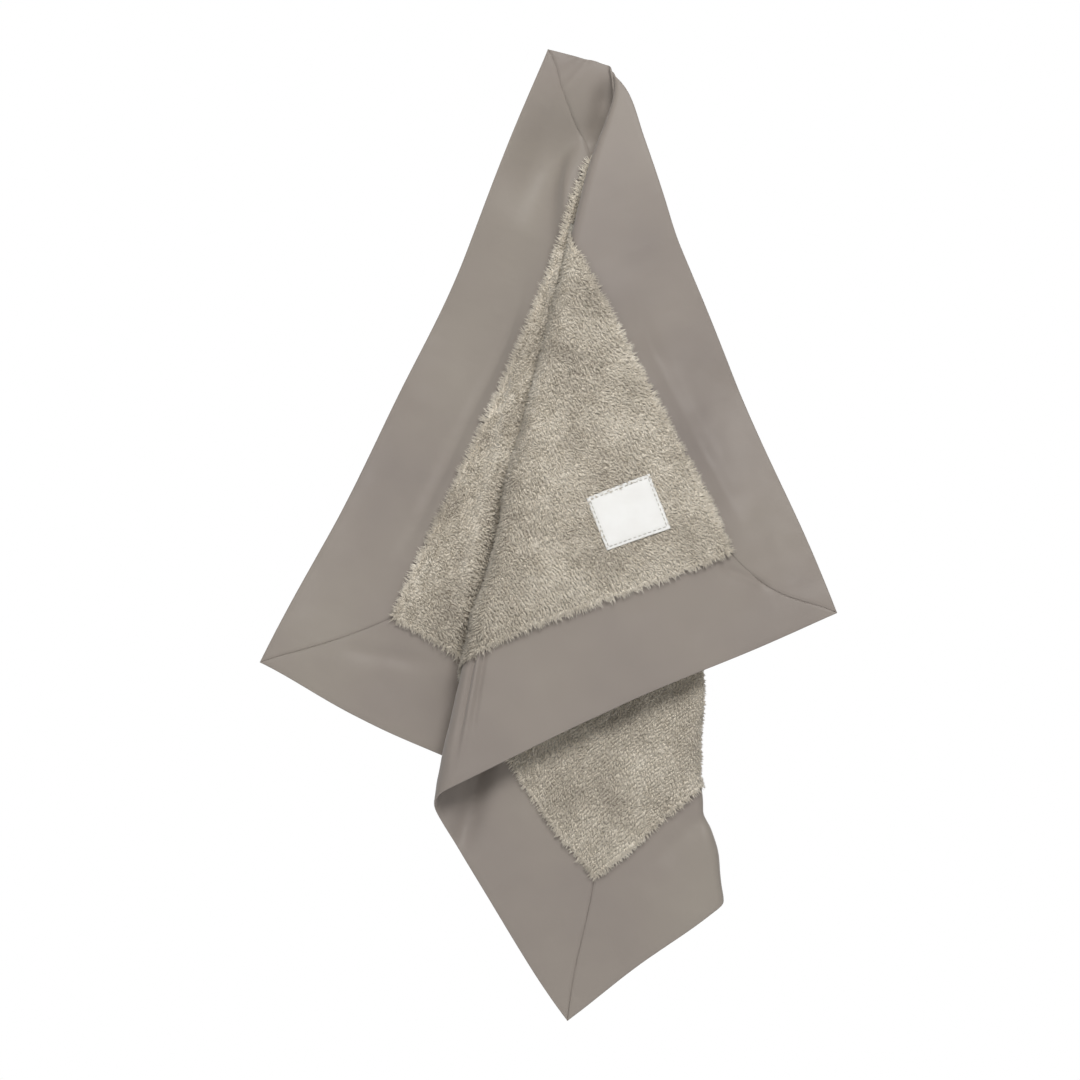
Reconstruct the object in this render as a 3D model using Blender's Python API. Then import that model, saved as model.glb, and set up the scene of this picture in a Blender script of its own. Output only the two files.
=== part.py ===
"""Comfort blanket: a square of double-sided plush in a wide satin border, hung by one corner.

The blanket is first laid out flat. Corner A is the one beside the pinch; `along` runs from A to
B and `across` from A to C, and D is the far corner. The function hung() then carries any flat
place to where it hangs: the cloth fans out from a focus just above the pinch and turns back on
itself twice, at fold P on the right and fold Q on the left, so that three layers hang one in
front of the other. Every piece is cut out of the flat layout and hung by that one function.
The origin is the pinch, +Z is up, and the label side of the front flap faces -Y.
"""

import math

import bmesh
import bpy
from mathutils import Vector

MM = 0.001

# Driving sizes of the flat blanket
SIDE = 457 * MM
BORDER = 63.5 * MM
SATIN_THICKNESS = 0.7 * MM
PLUSH_THICKNESS = 2.5 * MM
GAP = 0.3 * MM

# Woven label, sewn to the front plush
LABEL_LENGTH = 44 * MM
LABEL_HEIGHT = 36 * MM
LABEL_THICKNESS = 0.8 * MM
LABEL_CENTRE_SHARE = (0.231, 0.742)
LABEL_TILT = math.radians(21.5)
STITCH_INSET = 2 * MM
THREAD_RADIUS = 0.25 * MM

# The pinch: how far it lies from corner A, and how far outside the edge the folds converge
PINCH_ALONG_EDGE = 31 * MM
FOCUS_OUT = 14 * MM
FLAP_SHIFT = 11 * MM
FLAP_SHIFT_REACH = 9 * MM

# Fold radii grow from the pinch towards these
FOLD_P_RADIUS = 5 * MM
FOLD_P_REACH = 60 * MM
FOLD_Q_RADIUS = 13 * MM
FOLD_Q_REACH = 230 * MM

# Where the folds meet the edges B-D and C-D, from B and from C
FOLD_P_SHARE = 0.7285
FOLD_Q_SHARE = 0.635

# Landmarks: flat place (along, across) and hung place (right, down) as shares of SIDE
FOCUS_SHARE = (0.014, -0.042)
BACK_LAYER_SHARES = (
    ((0, 0), (-0.059, -0.032)),
    ((0.13, 0), (-0.112, 0.080)),
    ((1, 0), (-0.466, 0.824)),
    ((0.864, 0.136), (-0.284, 0.758)),
    ((1, 0.36), (-0.144, 0.990)),
    ((1, FOLD_P_SHARE), (0.185, 1.161)),
)
MIDDLE_LAYER_SHARES = (
    ((1, FOLD_P_SHARE), (0.185, 1.161)),
    ((1, 1), (-0.0285, 1.3295)),
    ((FOLD_Q_SHARE, 1), (-0.217, 1.020)),
)
FLAP_SHARES = (
    ((FOLD_Q_SHARE, 1), (-0.217, 1.020)),
    ((0.305, 1), (0.073, 0.876)),
    ((0, 1), (0.341, 0.760)),
)

# Soft shapes of the cloth: flat centre, reach (along, across) and move (right, back, down)
DRAPE_SHARES = (
    ((0.52, 0), (0.52, 0.22), (0.020, 0.050, 0.010)),
    ((0, 0.20), (0.18, 0.20), (0.018, 0.000, -0.003)),
    ((0.07, 0.07), (0.10, 0.07), (-0.008, 0.000, 0.004)),
    ((0.139, 0.70), (0.16, 0.48), (0.022, 0.000, -0.008)),
    ((0.139, 0.90), (0.22, 0.32), (0.010, 0.000, -0.020)),
    ((0.82, 0.861), (0.28, 0.15), (0.022, 0.000, -0.002)),
    ((0.78, 0.52), (0.30, 0.26), (0.018, 0.000, 0.000)),
    ((1, 0.16), (0.20, 0.19), (-0.004, 0.000, 0.021)),
    ((0.56, 0), (0.24, 0.20), (-0.009, 0.000, 0.000)),
    ((0, 0.23), (0.18, 0.12), (-0.005, 0.000, 0.000)),
    ((0, 0.72), (0.16, 0.25), (-0.004, 0.000, 0.000)),
    ((0.845, 0.625), (0.15, 0.15), (-0.0190, 0.000, 0.000)),
    ((0.45, 0.861), (0.32, 0.17), (0.000, 0.000, -0.034)),
    ((0.22, 0.139), (0.22, 0.16), (-0.020, 0.000, 0.000)),
    ((0, 0.65), (0.26, 0.42), (0.000, 0.045, 0.000)),
    ((0, 1), (0.30, 0.30), (0.000, 0.022, 0.000)),
    ((0.14, 0.08), (0.13, 0.12), (0.000, 0.030, 0.000)),
    ((0.34, 0.76), (0.30, 0.34), (0.000, -0.022, 0.000)),
    ((0.70, 0.22), (0.26, 0.24), (0.000, -0.020, 0.000)),
    ((1, 1), (0.34, 0.34), (0.000, 0.020, 0.000)),
    ((0.46, 0.23), (0.22, 0.13), (0.000, -0.014, 0.000)),
    ((0.14, 1), (0.19, 0.20), (0.000, 0.000, 0.011)),
    ((1, 0.87), (0.12, 0.11), (-0.005, 0.000, -0.002)),
    ((0.83, 1), (0.15, 0.12), (0.002, 0.000, 0.000)),
    ((0.861, 0.861), (0.11, 0.11), (0.000, 0.000, -0.009)),
    ((0, 0.13), (0.12, 0.09), (0.005, 0.000, -0.002)),
    ((0.13, 0.139), (0.08, 0.07), (0.000, 0.000, -0.018)),
    ((0.26, 0.139), (0.13, 0.07), (0.010, 0.000, 0.000)),
)

# How finely the cloth is cut into faces
FOLD_STEPS = 6
BACK_RAYS = 10
TURN_RAYS = 3
FLAP_RAYS = 9
PLUSH_ROWS = 12
STRIP_ROWS = 3
LABEL_STEPS = 5
STITCH_STEPS = 10

# Working accuracy
CROSSING_ROUNDS = 8
SAME_PLACE = GAP / 10
NORMAL_STEP = 0.2 * MM

# Base colour, roughness and sheen of each material
SATIN_LOOK = ((0.315, 0.270, 0.235), 0.55, 0.2)
PLUSH_LOOK = ((0.430, 0.390, 0.315), 0.95, 0.5)
LABEL_LOOK = ((0.880, 0.870, 0.850), 0.70, 0.0)
THREAD_LOOK = ((0.780, 0.760, 0.720), 0.80, 0.0)
SMOOTH_BELOW = math.radians(50)


# The hanging form

def polar(along, across):
    """Distance from the focus, and angle from the direction of corner A."""
    right = along + FOCUS_OUT
    down = across - PINCH_ALONG_EDGE
    return math.hypot(right, down), math.atan2(right, -down)


FOLD_P_ANGLE = polar(SIDE, FOLD_P_SHARE * SIDE)[1]
FOLD_Q_ANGLE = polar(FOLD_Q_SHARE * SIDE, SIDE)[1]


def focus_shift(radius, angle):
    """How far right of the focus the cloth fans out: nothing behind fold P, all in the flap."""
    part = min(1, max(0, (angle - FOLD_P_ANGLE) / (FOLD_Q_ANGLE - FOLD_P_ANGLE)))
    smooth = part * part * (3 - 2 * part)
    return smooth * FLAP_SHIFT * (1 - math.exp((FOCUS_OUT - radius) / FLAP_SHIFT_REACH))


def make_ribs(shares):
    """Turn landmarks into (flat angle, hung angle, stretch) for the layer that they lie on."""
    ribs = []
    for (along, across), (right, down) in shares:
        radius, angle = polar(along * SIDE, across * SIDE)
        x = (right - FOCUS_SHARE[0]) * SIDE - focus_shift(radius, angle)
        z = (down - FOCUS_SHARE[1]) * SIDE
        ribs.append((angle, math.atan2(x, z), math.hypot(x, z) / radius))
    return ribs


BACK_RIBS = make_ribs(BACK_LAYER_SHARES)
MIDDLE_RIBS = make_ribs(MIDDLE_LAYER_SHARES)
FLAP_RIBS = make_ribs(FLAP_SHARES)


def between_ribs(ribs, column, angle):
    """Smooth curve through one column of the ribs, straight beyond the ends."""
    last = len(ribs) - 1
    i = max([0] + [k for k in range(last) if ribs[k][0] <= angle])
    rises = [(b[column] - a[column]) / (b[0] - a[0]) for a, b in zip(ribs, ribs[1:])]

    def slope(k):
        if k == 0 or k == last:
            return rises[min(k, last - 1)]
        before, after = rises[k - 1], rises[k]
        return 2 * before * after / (before + after) if before * after > 0 else 0

    width = ribs[i + 1][0] - ribs[i][0]
    t = (angle - ribs[i][0]) / width
    start, end = ribs[i][column], ribs[i + 1][column]
    rise_in, rise_out = slope(i) * width, slope(i + 1) * width
    if t < 0:
        return start + rise_in * t
    if t > 1:
        return end + rise_out * (t - 1)
    return (start + (end - start) * t * t * (3 - 2 * t)
            + t * (1 - t) * ((1 - t) * rise_in - t * rise_out))


def fold_radii(radius):
    return (FOLD_P_RADIUS * (1 - math.exp(-radius / FOLD_P_REACH)),
            FOLD_Q_RADIUS * (1 - math.exp(-radius / FOLD_Q_REACH)))


def fold_half_angles(radius):
    """Half of the angle that each fold's half circle takes up at this distance."""
    p_radius, q_radius = fold_radii(radius)
    return math.pi / 2 * p_radius / radius, math.pi / 2 * q_radius / radius


def folded(radius, angle):
    """The layer's ribs, the angle to read them at, and the depth in front of the back layer."""
    p_radius, q_radius = fold_radii(radius)
    p_half, q_half = fold_half_angles(radius)
    p_tip, q_tip = p_radius / radius, q_radius / radius
    first, last = BACK_RIBS[0][0], FLAP_RIBS[-1][0]
    if angle < FOLD_P_ANGLE - p_half:
        part = (angle - first) / (FOLD_P_ANGLE - p_half - first)
        return BACK_RIBS, angle + part * (p_half - p_tip), 0
    if angle <= FOLD_P_ANGLE + p_half:
        turn = (angle - FOLD_P_ANGLE) / p_half * math.pi / 2
        inset = p_tip * (1 - math.cos(turn))
        depth = p_radius * (1 + math.sin(turn))
        if turn < 0:
            return BACK_RIBS, FOLD_P_ANGLE - inset, depth
        return MIDDLE_RIBS, FOLD_P_ANGLE + inset, depth
    if angle < FOLD_Q_ANGLE - q_half:
        part = (angle - FOLD_P_ANGLE - p_half) / (FOLD_Q_ANGLE - q_half - FOLD_P_ANGLE - p_half)
        width = FOLD_Q_ANGLE - q_tip - FOLD_P_ANGLE - p_tip
        return MIDDLE_RIBS, FOLD_P_ANGLE + p_tip + part * width, 2 * p_radius
    if angle <= FOLD_Q_ANGLE + q_half:
        turn = (angle - FOLD_Q_ANGLE) / q_half * math.pi / 2
        inset = q_tip * (1 - math.cos(turn))
        depth = 2 * p_radius + q_radius * (1 + math.sin(turn))
        if turn < 0:
            return MIDDLE_RIBS, FOLD_Q_ANGLE - inset, depth
        return FLAP_RIBS, FOLD_Q_ANGLE + inset, depth
    part = (last - angle) / (last - FOLD_Q_ANGLE - q_half)
    return FLAP_RIBS, angle - part * (q_half - q_tip), 2 * p_radius + 2 * q_radius


def swell(distance, reach):
    """A soft bump, one at its centre and nothing past its reach."""
    part = distance / reach
    return math.cos(math.pi / 2 * part) ** 2 if abs(part) < 1 else 0


def middle_surface(along, across):
    """Where a flat place hangs, halfway through the cloth."""
    radius, angle = polar(along, across)
    ribs, read_at, depth = folded(radius, angle)
    hung_angle = between_ribs(ribs, 1, read_at)
    length = radius * between_ribs(ribs, 2, read_at)
    place = Vector((FOCUS_SHARE[0] * SIDE + focus_shift(radius, read_at)
                    + length * math.sin(hung_angle),
                    -depth,
                    -FOCUS_SHARE[1] * SIDE - length * math.cos(hung_angle)))
    for centre, reach, (right, back, down) in DRAPE_SHARES:
        weight = (swell(along / SIDE - centre[0], reach[0])
                  * swell(across / SIDE - centre[1], reach[1]))
        place += weight * SIDE * Vector((right, back, -down))
    return place


def hung(along, across, height):
    """Where a flat place hangs, at a height above the middle, towards the front face."""
    d_along = (middle_surface(along + NORMAL_STEP, across)
               - middle_surface(along - NORMAL_STEP, across))
    d_across = (middle_surface(along, across + NORMAL_STEP)
                - middle_surface(along, across - NORMAL_STEP))
    normal = d_along.cross(d_across).normalized()
    return middle_surface(along, across) + height * normal


# Flat layout: a piece is a row of columns, each a pair of flat points on its two long sides

def fold_columns(crossing):
    """Angles of the columns that shape the two folds, as functions of the distance."""
    columns = []
    for step in range(-FOLD_STEPS, FOLD_STEPS + 1, 2):
        part = step / FOLD_STEPS
        columns.append(crossing(lambda r, s=part: FOLD_P_ANGLE + s * fold_half_angles(r)[0]))
    for step in range(-FOLD_STEPS, FOLD_STEPS + 1, 2):
        part = step / FOLD_STEPS
        columns.append(crossing(lambda r, s=part: FOLD_Q_ANGLE + s * fold_half_angles(r)[1]))
    return columns


def on_along(along, angle_at):
    """How far across a fold column crosses the line at this distance along."""
    across = SIDE / 2
    for _ in range(CROSSING_ROUNDS):
        radius = polar(along, across)[0]
        across = PINCH_ALONG_EDGE - (along + FOCUS_OUT) / math.tan(angle_at(radius))
    return across


def on_across(across, angle_at):
    """How far along a fold column crosses the line at this distance across."""
    along = SIDE / 2
    for _ in range(CROSSING_ROUNDS):
        radius = polar(along, across)[0]
        along = (PINCH_ALONG_EDGE - across) * math.tan(angle_at(radius)) - FOCUS_OUT
    return along


def read_between(pairs, position):
    """Read the second values of sorted pairs at a position among the first ones."""
    for (x0, y0), (x1, y1) in zip(pairs, pairs[1:]):
        if x0 <= position <= x1:
            return y0 + (y1 - y0) * (position - x0) / (x1 - x0)
    return pairs[-1][1]


def strip_columns(side, panel):
    """Columns of one mitred border strip, which meet the plush panel's on its inner side."""
    low = BORDER + GAP / 2
    high = SIDE - low
    ends = [(low, GAP), (high, SIDE - GAP)]
    p_count = FOLD_STEPS + 1
    near_side = side in ("AB", "AC")
    inner, outer = (BORDER - GAP / 2, 0) if near_side else (SIDE - BORDER + GAP / 2, SIDE)
    edge = low if near_side else high
    runs_along = side in ("AB", "CD")
    crossing = on_across if runs_along else on_along
    kept = {"AB": slice(0, 0), "AC": slice(None), "BD": slice(0, p_count),
            "CD": slice(p_count, None)}[side]
    folds = zip(fold_columns(lambda angle_at: crossing(edge, angle_at))[kept],
                fold_columns(lambda angle_at: crossing(outer, angle_at))[kept])
    anchors = sorted(ends + list(folds))
    on_axis, off_axis = (0, 1) if runs_along else (1, 0)
    column_ends = [column[0 if near_side else 1] for column in panel]
    places = []
    for place in sorted(end[on_axis] for end in column_ends
                        if abs(end[off_axis] - edge) < SAME_PLACE):
        if not places or place - places[-1] > SAME_PLACE:
            places.append(place)
    pairs = [(place, read_between(anchors, place)) for place in places]
    if runs_along:
        return [((i, inner), (o, outer)) for i, o in pairs]
    return [((inner, i), (outer, o)) for i, o in pairs]


def plush_columns():
    """Columns of a plush panel: rays from the focus, from where they enter to where they leave."""
    low = BORDER + GAP / 2
    high = SIDE - low

    def cut(angle_at):
        """The two places where a ray, whose angle may change with distance, meets the square."""
        near = (low, on_along(low, angle_at))
        if near[1] < low:
            near = (on_across(low, angle_at), low)
        far = (high, on_along(high, angle_at))
        if far[1] > high:
            far = (on_across(high, angle_at), high)
        return near, far

    def rays(start, end, count):
        """The rays between two others, without those two."""
        return [cut(lambda r, a=start + (end - start) * k / count: a) for k in range(1, count)]

    a_angle, b_angle = polar(low, low)[1], polar(high, low)[1]
    c_angle, d_angle = polar(low, high)[1], polar(high, high)[1]
    a_ray = ((low, low), (high, on_along(high, lambda r: a_angle)))
    d_ray = ((low, on_along(low, lambda r: d_angle)), (high, high))
    folds = fold_columns(cut)
    p_count = FOLD_STEPS + 1
    p_start = FOLD_P_ANGLE - fold_half_angles(SIDE / 2)[0]
    q_end = FOLD_Q_ANGLE + fold_half_angles(SIDE / 2)[1]
    return ([((high, low), (high, low))] + rays(b_angle, a_angle, BACK_RAYS)
            + [a_ray] + rays(a_angle, p_start, TURN_RAYS) + folds[:p_count]
            + [d_ray] + folds[p_count:]
            + rays(q_end, c_angle, FLAP_RAYS) + [((low, high), (low, high))])


# Solids

def new_material(name, colour, roughness, sheen):
    material = bpy.data.materials.new(name)
    material.use_nodes = True
    shader = material.node_tree.nodes["Principled BSDF"]
    shader.inputs["Base Color"].default_value = (*colour, 1)
    shader.inputs["Roughness"].default_value = roughness
    shader.inputs["Sheen Weight"].default_value = sheen
    return material


def cloth_solid(name, columns, rows, low, high, material):
    """Hang a sheet cut out by its columns and give it the thickness from low to high."""
    mesh = bmesh.new()
    flat_along = mesh.verts.layers.float.new("flat_along")
    flat_across = mesh.verts.layers.float.new("flat_across")
    bmesh.ops.create_grid(mesh, x_segments=len(columns) - 1, y_segments=rows, size=1)
    for vert in mesh.verts:
        near, far = columns[round((vert.co.x + 1) / 2 * (len(columns) - 1))]
        part = (vert.co.y + 1) / 2
        vert[flat_along] = near[0] + (far[0] - near[0]) * part
        vert[flat_across] = near[1] + (far[1] - near[1]) * part
        vert.co = hung(vert[flat_along], vert[flat_across], low)
    bmesh.ops.remove_doubles(mesh, verts=mesh.verts, dist=SAME_PLACE)
    grown = bmesh.ops.extrude_face_region(mesh, geom=mesh.faces[:])["geom"]
    for vert in grown:
        if isinstance(vert, bmesh.types.BMVert):
            vert.co = hung(vert[flat_along], vert[flat_across], high)
    bmesh.ops.recalc_face_normals(mesh, faces=mesh.faces)
    data = bpy.data.meshes.new(name)
    mesh.to_mesh(data)
    mesh.free()
    data.shade_smooth()
    data.set_sharp_from_angle(angle=SMOOTH_BELOW)
    put_in_scene(name, data, material)


def put_in_scene(name, data, material):
    data.materials.append(material)
    bpy.context.scene.collection.objects.link(bpy.data.objects.new(name, data))


def border(material):
    """Four front strips and four back strips, mitred at the corners."""
    names = {"AB": "top", "BD": "left", "CD": "bottom", "AC": "right"}
    panel = plush_columns()
    for side, name in names.items():
        columns = strip_columns(side, panel)
        for face, sign in (("front", 1), ("back", -1)):
            cloth_solid(f"border_{face}_{name}", columns, STRIP_ROWS, sign * GAP / 2,
                        sign * (GAP / 2 + SATIN_THICKNESS), material)


def plush_panels(material):
    columns = plush_columns()
    for face, sign in (("front", 1), ("back", -1)):
        cloth_solid(f"plush_{face}", columns, PLUSH_ROWS, sign * GAP / 2,
                    sign * (GAP / 2 + PLUSH_THICKNESS), material)


def label_directions():
    """Flat steps that lead one unit right and one unit down on the label as it hangs."""
    along, across = (share * SIDE for share in LABEL_CENTRE_SHARE)
    by_along = (middle_surface(along + NORMAL_STEP, across)
                - middle_surface(along - NORMAL_STEP, across)) / (2 * NORMAL_STEP)
    by_across = (middle_surface(along, across + NORMAL_STEP)
                 - middle_surface(along, across - NORMAL_STEP)) / (2 * NORMAL_STEP)
    normal = by_along.cross(by_across).normalized()
    tilted = Vector((math.cos(LABEL_TILT), 0, math.sin(LABEL_TILT)))
    right = (tilted - tilted.dot(normal) * normal).normalized()

    def flat_step(direction):
        """Solve for the step along and across whose hung step is this one."""
        mixed = by_along.dot(by_across)
        whole = by_along.dot(by_along) * by_across.dot(by_across) - mixed * mixed
        first, second = by_along.dot(direction), by_across.dot(direction)
        return ((by_across.dot(by_across) * first - mixed * second) / whole,
                (by_along.dot(by_along) * second - mixed * first) / whole)

    return flat_step(right), flat_step(right.cross(normal))


LABEL_RIGHT, LABEL_DOWN = label_directions()


def label_place(right, down):
    """Flat place on the label, from its centre."""
    return tuple(LABEL_CENTRE_SHARE[axis] * SIDE + right * LABEL_RIGHT[axis]
                 + down * LABEL_DOWN[axis] for axis in range(2))


def label(material):
    """The woven label, on the front plush."""
    low = label_height()
    columns = []
    for step in range(LABEL_STEPS + 1):
        right = LABEL_LENGTH * (step / LABEL_STEPS - 1 / 2)
        columns.append((label_place(right, -LABEL_HEIGHT / 2),
                        label_place(right, LABEL_HEIGHT / 2)))
    cloth_solid("label", columns, LABEL_STEPS, low, low + LABEL_THICKNESS, material)


def label_height():
    """Height of the label's underside, just clear of the front plush."""
    return GAP / 2 + PLUSH_THICKNESS + GAP


def label_stitching(material):
    """One loop of thread that runs round just inside the label's edge."""
    corners = [(-1, -1), (1, -1), (1, 1), (-1, 1)]
    half_length = LABEL_LENGTH / 2 - STITCH_INSET
    half_height = LABEL_HEIGHT / 2 - STITCH_INSET
    height = label_height() + LABEL_THICKNESS + GAP + THREAD_RADIUS
    points = []
    for (x0, y0), (x1, y1) in zip(corners, corners[1:] + corners[:1]):
        for step in range(STITCH_STEPS):
            part = step / STITCH_STEPS
            place = label_place((x0 + (x1 - x0) * part) * half_length,
                                (y0 + (y1 - y0) * part) * half_height)
            points.append(hung(*place, height))
    thread_loop("label_stitching", points, material)


def thread_loop(name, points, material):
    data = bpy.data.curves.new(name, "CURVE")
    data.dimensions = "3D"
    data.bevel_depth = THREAD_RADIUS
    data.bevel_resolution = 1
    spline = data.splines.new("POLY")
    spline.points.add(len(points) - 1)
    for target, point in zip(spline.points, points):
        target.co = (*point, 1)
    spline.use_cyclic_u = True
    put_in_scene(name, data, material)


def main():
    for old in list(bpy.data.objects):
        bpy.data.objects.remove(old, do_unlink=True)
    plush_panels(new_material("plush", *PLUSH_LOOK))
    border(new_material("satin", *SATIN_LOOK))
    label(new_material("label", *LABEL_LOOK))
    label_stitching(new_material("thread", *THREAD_LOOK))


main()
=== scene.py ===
"""The looks of the comfort blanket: satin border, plush pile, blank label and its stitches.

The blanket is cut out flat and hung by one function, as its solids are. `along` runs from the
corner beside the pinch, A, to B, and `across` from A to C. The focus, from which the folds fan
out, lies just above the pinch. Metres, +Z up, the label side faces -Y, origin at the pinch.
"""

import math

import bmesh
import bpy
import numpy as np
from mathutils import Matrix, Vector

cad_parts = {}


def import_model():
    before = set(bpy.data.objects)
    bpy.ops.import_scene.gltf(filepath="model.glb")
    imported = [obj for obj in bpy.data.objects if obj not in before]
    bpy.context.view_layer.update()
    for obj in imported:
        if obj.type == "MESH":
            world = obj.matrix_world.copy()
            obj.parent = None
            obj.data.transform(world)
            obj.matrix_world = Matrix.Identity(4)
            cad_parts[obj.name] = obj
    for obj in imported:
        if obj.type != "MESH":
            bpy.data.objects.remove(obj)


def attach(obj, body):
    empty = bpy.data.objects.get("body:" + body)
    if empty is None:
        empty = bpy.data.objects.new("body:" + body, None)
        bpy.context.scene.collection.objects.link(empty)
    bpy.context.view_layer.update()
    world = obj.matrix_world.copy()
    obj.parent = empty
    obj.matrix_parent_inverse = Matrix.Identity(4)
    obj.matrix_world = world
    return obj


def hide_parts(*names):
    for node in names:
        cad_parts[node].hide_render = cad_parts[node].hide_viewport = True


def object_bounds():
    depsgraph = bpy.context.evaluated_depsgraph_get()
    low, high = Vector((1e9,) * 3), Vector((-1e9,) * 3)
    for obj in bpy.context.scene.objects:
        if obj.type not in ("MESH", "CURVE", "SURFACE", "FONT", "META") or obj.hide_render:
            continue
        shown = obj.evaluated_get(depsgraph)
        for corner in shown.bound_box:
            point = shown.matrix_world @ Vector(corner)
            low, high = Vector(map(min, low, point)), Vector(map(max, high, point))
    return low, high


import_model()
cad_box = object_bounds()

MM = 0.001

# Flat blanket, as in the solids
SIDE = 457 * MM
BORDER = 63.5 * MM
GAP = 0.3 * MM
SATIN_THICKNESS = 0.7 * MM
PLUSH_THICKNESS = 2.5 * MM
LABEL_LENGTH = 44 * MM
LABEL_HEIGHT = 36 * MM
LABEL_THICKNESS = 0.8 * MM
LABEL_CENTRE_SHARE = (0.231, 0.742)
LABEL_TILT = math.radians(21.5)

# The pinch and the folds, as in the solids; fold P hangs on the right and fold Q on the left
PINCH_ALONG_EDGE = 31 * MM
FOCUS_OUT = 14 * MM
FLAP_SHIFT = 11 * MM
FLAP_SHIFT_REACH = 9 * MM
FOLD_P_RADIUS = 5 * MM
FOLD_P_REACH = 60 * MM
FOLD_Q_RADIUS = 13 * MM
FOLD_Q_REACH = 230 * MM
FOLD_P_SHARE = 0.7285
FOLD_Q_SHARE = 0.635
FOCUS_SHARE = (0.014, -0.042)

# Landmarks of each layer, as shares of the side: the flat place, then where it hangs to the
# right of the pinch and below it
BACK_LAYER_SHARES = (
    ((0, 0), (-0.059, -0.032)),
    ((0.13, 0), (-0.112, 0.080)),
    ((1, 0), (-0.466, 0.824)),
    ((0.864, 0.136), (-0.284, 0.758)),
    ((1, 0.36), (-0.144, 0.990)),
    ((1, FOLD_P_SHARE), (0.185, 1.161)),
)
MIDDLE_LAYER_SHARES = (
    ((1, FOLD_P_SHARE), (0.185, 1.161)),
    ((1, 1), (-0.0285, 1.3295)),
    ((FOLD_Q_SHARE, 1), (-0.217, 1.020)),
)
FLAP_SHARES = (
    ((FOLD_Q_SHARE, 1), (-0.217, 1.020)),
    ((0.305, 1), (0.073, 0.876)),
    ((0, 1), (0.341, 0.760)),
)

# Broad shifts, as shares of the side: flat centre, reach, then the way right, back and down
DRAPE_SHARES = (
    ((0.52, 0), (0.52, 0.22), (0.020, 0.050, 0.010)),
    ((0, 0.20), (0.18, 0.20), (0.018, 0.000, -0.003)),
    ((0.07, 0.07), (0.10, 0.07), (-0.008, 0.000, 0.004)),
    ((0.139, 0.70), (0.16, 0.48), (0.022, 0.000, -0.008)),
    ((0.139, 0.90), (0.22, 0.32), (0.010, 0.000, -0.020)),
    ((0.82, 0.861), (0.28, 0.15), (0.022, 0.000, -0.002)),
    ((0.78, 0.52), (0.30, 0.26), (0.018, 0.000, 0.000)),
    ((1, 0.16), (0.20, 0.19), (-0.004, 0.000, 0.021)),
    ((0.56, 0), (0.24, 0.20), (-0.009, 0.000, 0.000)),
    ((0, 0.23), (0.18, 0.12), (-0.005, 0.000, 0.000)),
    ((0, 0.72), (0.16, 0.25), (-0.004, 0.000, 0.000)),
    ((0.845, 0.625), (0.15, 0.15), (-0.019, 0.000, 0.000)),
    ((0.45, 0.861), (0.32, 0.17), (0.000, 0.000, -0.034)),
    ((0.22, 0.139), (0.22, 0.16), (-0.020, 0.000, 0.000)),
    ((0, 0.65), (0.26, 0.42), (0.000, 0.045, 0.000)),
    ((0, 1), (0.30, 0.30), (0.000, 0.022, 0.000)),
    ((0.14, 0.08), (0.13, 0.12), (0.000, 0.030, 0.000)),
    ((0.34, 0.76), (0.30, 0.34), (0.000, -0.022, 0.000)),
    ((0.70, 0.22), (0.26, 0.24), (0.000, -0.020, 0.000)),
    ((1, 1), (0.34, 0.34), (0.000, 0.020, 0.000)),
    ((0.46, 0.23), (0.22, 0.13), (0.000, -0.014, 0.000)),
    ((0.14, 1), (0.19, 0.20), (0.000, 0.000, 0.011)),
    ((1, 0.87), (0.12, 0.11), (-0.005, 0.000, -0.002)),
    ((0.83, 1), (0.15, 0.12), (0.002, 0.000, 0.000)),
    ((0.861, 0.861), (0.11, 0.11), (0.000, 0.000, -0.009)),
    ((0, 0.13), (0.12, 0.09), (0.005, 0.000, -0.002)),
    ((0.13, 0.139), (0.08, 0.07), (0.000, 0.000, -0.018)),
    ((0.26, 0.139), (0.13, 0.07), (0.010, 0.000, 0.000)),
)

# Soft waves of the cloth
WAVE_HEIGHT = 2.2 * MM
WAVE_LENGTH = 48 * MM
WAVE_FULL_AT = 260 * MM
NORMAL_STEP = 0.25 * MM

# Creases that fan out from the focus: degrees, start, end, half width, height
CREASES = (
    (50, 6 * MM, 34 * MM, 2.2 * MM, 0.8 * MM),
    (76, 6 * MM, 40 * MM, 2.0 * MM, -0.8 * MM),
    (93, 45 * MM, 280 * MM, 17 * MM, -3.5 * MM),
    (105.5, 55 * MM, 230 * MM, 7.5 * MM, 7.5 * MM),
    (114, 20 * MM, 88 * MM, 6 * MM, -6 * MM),
    (100.6, 170 * MM, 440 * MM, 6.5 * MM, 6.5 * MM),
    (141, 455 * MM, 560 * MM, 9 * MM, 8 * MM),
    (146.1, 390 * MM, 510 * MM, 1.8 * MM, -2.4 * MM),
    (146.55, 400 * MM, 500 * MM, 1.5 * MM, 0.8 * MM),
    (147.05, 390 * MM, 490 * MM, 1.8 * MM, -2.0 * MM),
    (149, 180 * MM, 385 * MM, 6 * MM, -1.4 * MM),
    (139, 130 * MM, 400 * MM, 7 * MM, 1.2 * MM),
)
CREASE_FADE_SHARE = 0.3

# Straight creases: from and to where as shares of the side, half width, height
SEAM_CREASES = (
    ((0.165, 0.868), (0.085, 0.938), 3.5 * MM, -2.0 * MM),
    ((0.105, 0.40), (0.105, 0.88), 7 * MM, -2.6 * MM),
    ((0.30, 0.110), (0.84, 0.110), 5 * MM, -2.0 * MM),
    ((0.89, 0.22), (0.93, 0.08), 5 * MM, -1.6 * MM),
    ((0.895, 0.85), (0.895, 0.35), 6 * MM, 2.0 * MM),
)

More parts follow.
